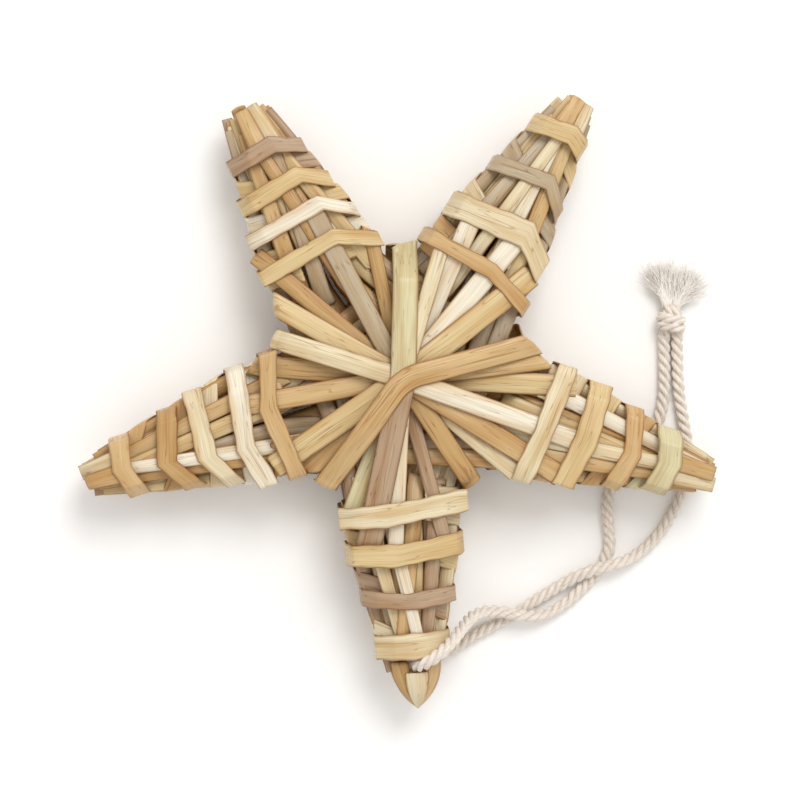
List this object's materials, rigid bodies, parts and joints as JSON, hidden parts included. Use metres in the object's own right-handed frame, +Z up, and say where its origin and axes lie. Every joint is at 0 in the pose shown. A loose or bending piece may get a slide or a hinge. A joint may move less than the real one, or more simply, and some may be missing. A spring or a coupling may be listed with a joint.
{
  "type": "straw star ornament",
  "caption": "Puffy pointed star plaited from flattened straw, straws fanned over its centre and bands folded round its arms, with a knotted cotton twine loop through one tip",
  "frame": {"origin": "middle of the underside box of the star, on the surface that it lies on, without its twine", "axes": "+Z up out of the front face of the lying star, +X towards the right-hand tips, -Y towards the tip that the twine goes through"},
  "size_m": [0.1048, 0.1008, 0.0178],
  "materials": {
    "straw_cream": "satin",
    "straw_tan": "satin",
    "straw_amber": "satin",
    "straw_brown": "satin",
    "straw_white": "satin",
    "cotton_twine": "matte"
  },
  "bodies": {
    "root": {"front_straws_1": "straw_cream", "front_straws_2": "straw_tan", "front_straws_3": "straw_white", "front_straws_4": "straw_amber", "front_straws_5": "straw_brown", "front_strip_1": "straw_tan", "front_strip_2": "straw_brown", "front_strip_3": "straw_white", "front_strip_4": "straw_cream", "front_strip_5": "straw_amber", "front_strip_6": "straw_tan", "front_strip_7": "straw_brown", "front_strip_8": "straw_white", "front_strip_9": "straw_cream", "front_strip_10": "straw_amber", "front_strip_11": "straw_tan", "front_strip_12": "straw_brown", "front_strip_13": "straw_white", "back_straws_1": "straw_tan", "back_straws_2": "straw_cream", "back_straws_3": "straw_amber", "back_straws_4": "straw_tan", "back_straws_5": "straw_cream", "back_strip_1": "straw_cream", "back_strip_2": "straw_cream", "back_strip_3": "straw_cream", "back_strip_4": "straw_cream", "back_strip_5": "straw_cream", "back_strip_6": "straw_cream", "back_strip_7": "straw_cream", "back_strip_8": "straw_cream", "band_bottom_1": "straw_cream", "band_bottom_2": "straw_tan", "band_bottom_3": "straw_brown", "band_bottom_4": "straw_white", "band_right_1": "straw_brown", "band_right_2": "straw_white", "band_right_3": "straw_amber", "band_right_4": "straw_cream", "band_upper_right_1": "straw_amber", "band_upper_right_2": "straw_cream", "band_upper_right_3": "straw_tan", "band_upper_right_4": "straw_brown", "band_upper_left_1": "straw_tan", "band_upper_left_2": "straw_brown", "band_upper_left_3": "straw_white", "band_upper_left_4": "straw_amber", "band_left_1": "straw_white", "band_left_2": "straw_amber", "band_left_3": "straw_cream", "band_left_4": "straw_tan", "band_left_5": "straw_brown", "tip_cap": "straw_amber", "twine_loop": "cotton_twine", "twine_knot": "cotton_twine", "twine_tail_left": "cotton_twine", "twine_tail_right": "cotton_twine"}
  },
  "joints": []
}
